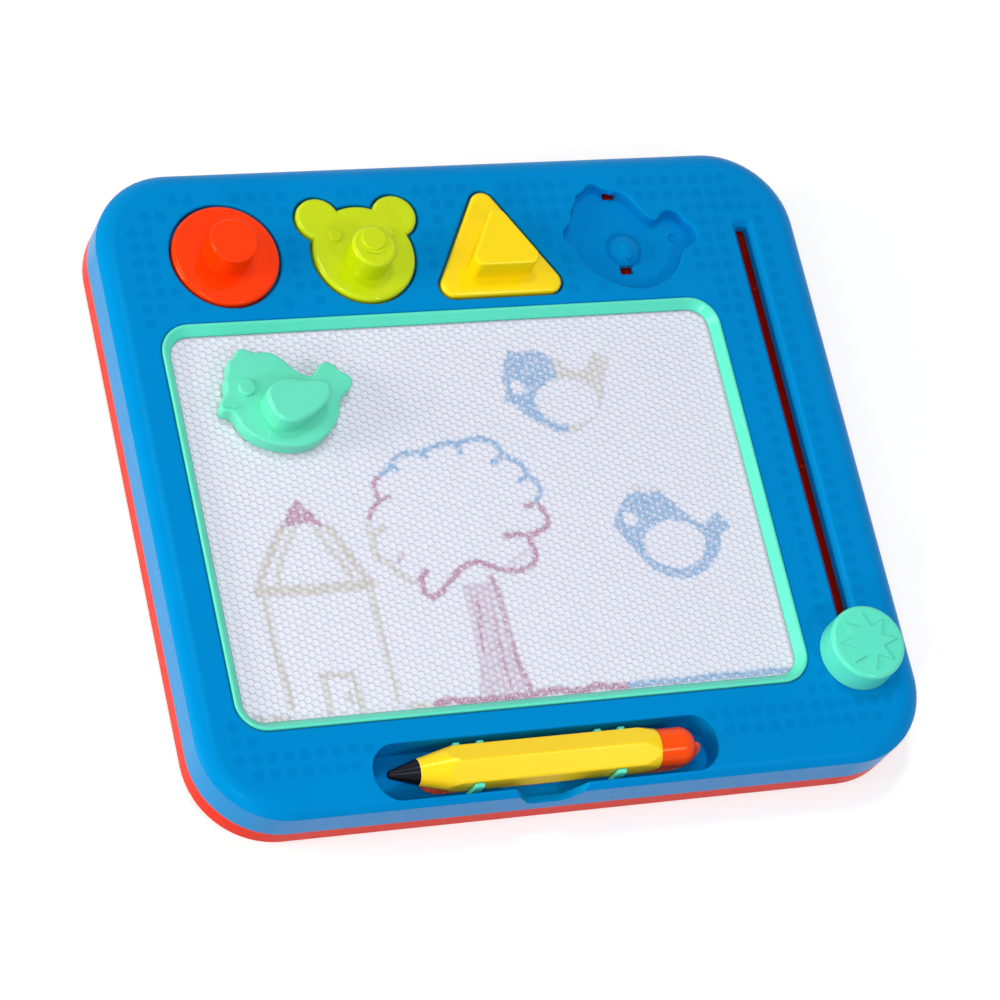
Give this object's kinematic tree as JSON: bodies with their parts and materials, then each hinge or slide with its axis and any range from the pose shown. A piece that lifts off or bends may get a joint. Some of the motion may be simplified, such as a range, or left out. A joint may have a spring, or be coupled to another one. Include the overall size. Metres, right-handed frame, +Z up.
{
  "type": "magnetic drawing board",
  "caption": "Flat magnetic drawing board with a framed honeycomb screen, slide eraser, tethered pen in a tray and shaped print stamps in matching recesses.",
  "frame": {"origin": "centre of the back's flat underside", "axes": "+X to the right along the board, +Y away from the pen tray towards the stamps, +Z up out of the screen"},
  "size_m": [0.32, 0.2898, 0.0443],
  "materials": {
    "blue_case": "satin",
    "red_case": "satin",
    "mint_plastic": "satin",
    "screen_film": "satin",
    "screen_core": "matte",
    "inner_plastic": "matte",
    "magnet_sheet": "matte",
    "tip_magnet": "plain",
    "yellow_plastic": "satin",
    "black_plastic": "satin",
    "orange_plastic": "satin",
    "orange_cord": "braided",
    "circle_plastic": "satin",
    "bear_plastic": "satin",
    "triangle_plastic": "satin",
    "screw_steel": "plain"
  },
  "bodies": {
    "board": {"front_cover": "blue_case", "back_cover": "red_case", "case_screws": "screw_steel", "screen_frame": "mint_plastic", "screen_face_film": "screen_film", "screen_honeycomb": "screen_core", "screen_back_film": "screen_film", "pen_clip_left": "mint_plastic", "pen_clip_right": "mint_plastic", "pen_tether": "orange_cord", "tether_anchor_knot": "orange_cord"},
    "eraser": {"slider_knob": "mint_plastic", "eraser_carriage": "inner_plastic", "eraser_magnet_strip": "magnet_sheet", "knob_screw": "screw_steel"},
    "pen": {"pen_barrel": "yellow_plastic", "pen_tip": "black_plastic", "pen_tip_magnet": "tip_magnet", "pen_end_cap": "orange_plastic", "tether_cap_knot": "orange_cord"},
    "circle": {"circle_stamp": "circle_plastic", "circle_magnet": "magnet_sheet"},
    "bear": {"bear_stamp": "bear_plastic", "bear_magnet": "magnet_sheet"},
    "triangle": {"triangle_stamp": "triangle_plastic", "triangle_magnet": "magnet_sheet"},
    "bird": {"bird_stamp": "mint_plastic", "bird_magnet": "magnet_sheet"}
  },
  "joints": [
    {"name": "eraser_slide", "type": "slide", "parent": "board", "child": "eraser", "axis": [0, 1, 0], "range_m": [0, 0.201]},
    {"name": "pen_lift", "type": "slide", "parent": "board", "child": "pen", "axis": [0, 0, 1], "range_m": [0, 0.03]},
    {"name": "circle_lift", "type": "slide", "parent": "board", "child": "circle", "axis": [0, 0, 1], "range_m": [0, 0.015]},
    {"name": "bear_lift", "type": "slide", "parent": "board", "child": "bear", "axis": [0, 0, 1], "range_m": [0, 0.015]},
    {"name": "triangle_lift", "type": "slide", "parent": "board", "child": "triangle", "axis": [0, 0, 1], "range_m": [0, 0.015]},
    {"name": "bird_lift", "type": "slide", "parent": "board", "child": "bird", "axis": [0, 0, 1], "range_m": [0, 0.015]}
  ]
}
